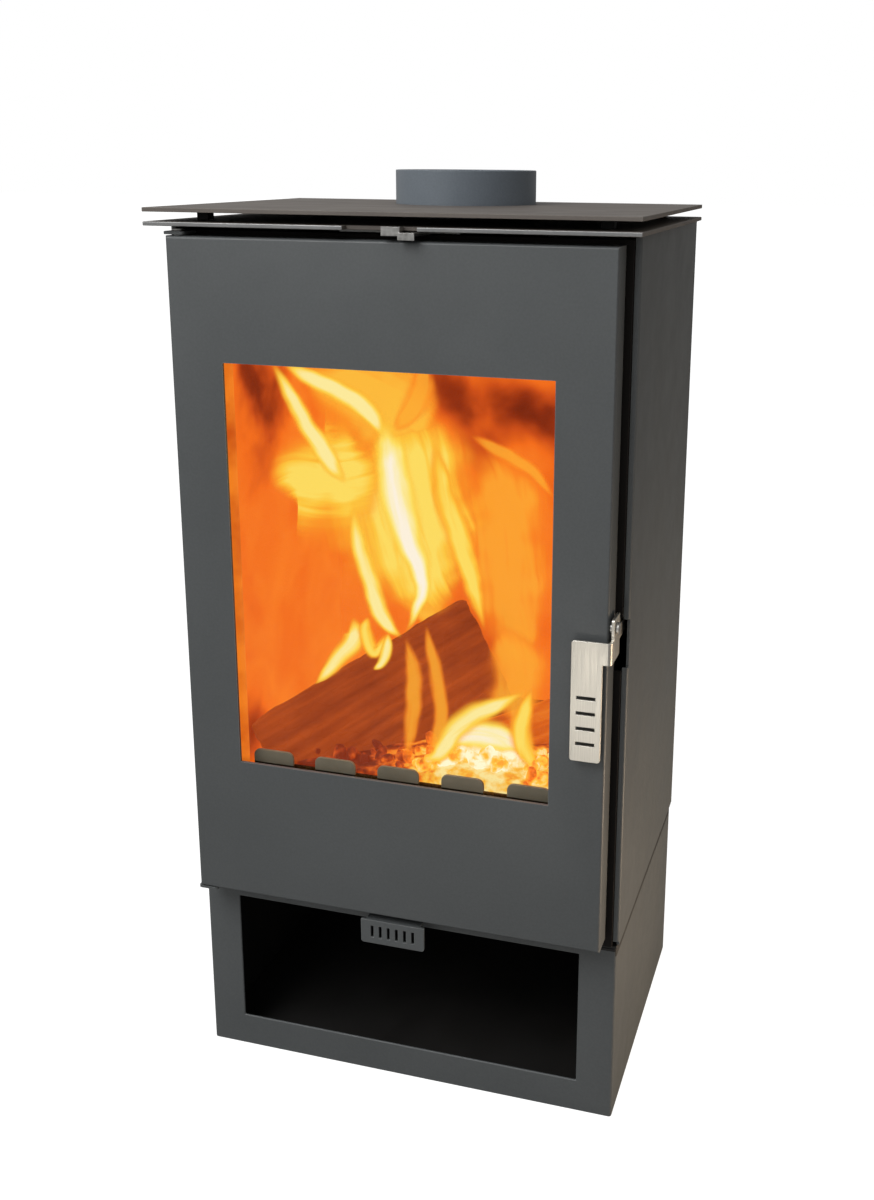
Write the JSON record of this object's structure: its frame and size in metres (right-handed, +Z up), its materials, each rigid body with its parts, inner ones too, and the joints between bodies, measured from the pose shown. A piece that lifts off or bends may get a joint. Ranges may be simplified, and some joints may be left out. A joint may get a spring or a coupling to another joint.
{
  "type": "wood burning stove",
  "caption": "Free-standing wood burning stove: glazed side-hinged door over an open log store, lift handle latch, spaced top plates, round top flue collar and sliding air controls.",
  "frame": {"origin": "centre of the whole stove's footprint, on the floor", "axes": "+Z up, +X to the right seen from the front, the door faces -Y"},
  "size_m": [0.48, 0.3744, 0.965],
  "materials": {
    "dark_paint": "satin dark grey high-temperature paint, fine orange peel",
    "top_paint": "matt warm dark grey high-temperature paint",
    "collar_paint": "satin blue-grey paint",
    "black_steel": "matt black, heat-stained",
    "stainless": "brushed along the grip",
    "zinc": "bright zinc plate",
    "cast_iron": "as cast, sooty",
    "vermiculite": "pressed board, coarse flakes, smoke-stained",
    "rope": "braided glass fibre",
    "glass": "clear ceramic fire glass"
  },
  "bodies": {
    "stove_body": {"base_shell": "dark_paint", "base_back": "dark_paint", "base_floor": "dark_paint", "base_foot_flange": "dark_paint", "base_top": "dark_paint", "side_panel_left": "dark_paint", "side_panel_right": "dark_paint", "rear_shield": "dark_paint", "log_guard": "dark_paint", "hinge_bracket_top": "dark_paint", "hinge_bracket_bottom": "dark_paint", "lower_top_plate": "top_paint", "upper_top_plate": "top_paint", "flue_collar": "collar_paint", "plate_spacer_1": "black_steel", "plate_spacer_2": "black_steel", "plate_spacer_3": "black_steel", "plate_spacer_4": "black_steel", "firebox_front": "black_steel", "firebox_wall_left": "black_steel", "firebox_wall_right": "black_steel", "firebox_back": "black_steel", "firebox_floor": "black_steel", "firebox_top": "black_steel", "firebox_shelf": "black_steel", "airwash_duct": "black_steel", "baffle_plate": "black_steel", "ash_pan": "black_steel", "air_valve_lid": "black_steel", "lever_guide_left": "black_steel", "lever_guide_right": "black_steel", "hinge_pin_top": "zinc", "hinge_pin_bottom": "zinc", "latch_keeper": "zinc", "grate": "cast_iron", "brick_left": "vermiculite", "brick_right": "vermiculite", "brick_back": "vermiculite", "brick_base": "vermiculite", "baffle_board": "vermiculite"},
    "door": {"door_panel": "dark_paint", "door_liner": "black_steel", "door_glass": "glass", "glass_gasket": "rope", "glass_retainer": "black_steel", "door_rope_seal": "rope", "latch_pivot_bolt": "zinc", "retainer_screw_1": "zinc", "retainer_screw_2": "zinc", "retainer_screw_3": "zinc", "retainer_screw_4": "zinc", "retainer_screw_5": "zinc", "retainer_screw_6": "zinc"},
    "handle": {"door_handle": "stainless"},
    "secondary_air": {"secondary_air_slide": "zinc"},
    "primary_air": {"primary_air_slide": "dark_paint"}
  },
  "joints": [
    {"name": "door_hinge", "type": "hinge", "parent": "stove_body", "child": "door", "pos_m": [-0.212, -0.16515, 0.56], "axis": [0, 0, -1], "range_deg": [0, 105]},
    {"name": "handle_pivot", "type": "hinge", "parent": "door", "child": "handle", "pos_m": [0.224, -0.16715, 0.554], "axis": [-1, 0, 0], "range_deg": [0, 50]},
    {"name": "secondary_air_slide", "type": "slide", "parent": "stove_body", "child": "secondary_air", "axis": [-1, 0, 0], "range_m": [0, 0.037]},
    {"name": "primary_air_slide", "type": "slide", "parent": "stove_body", "child": "primary_air", "axis": [0, -1, 0], "range_m": [0, 0.04]}
  ]
}
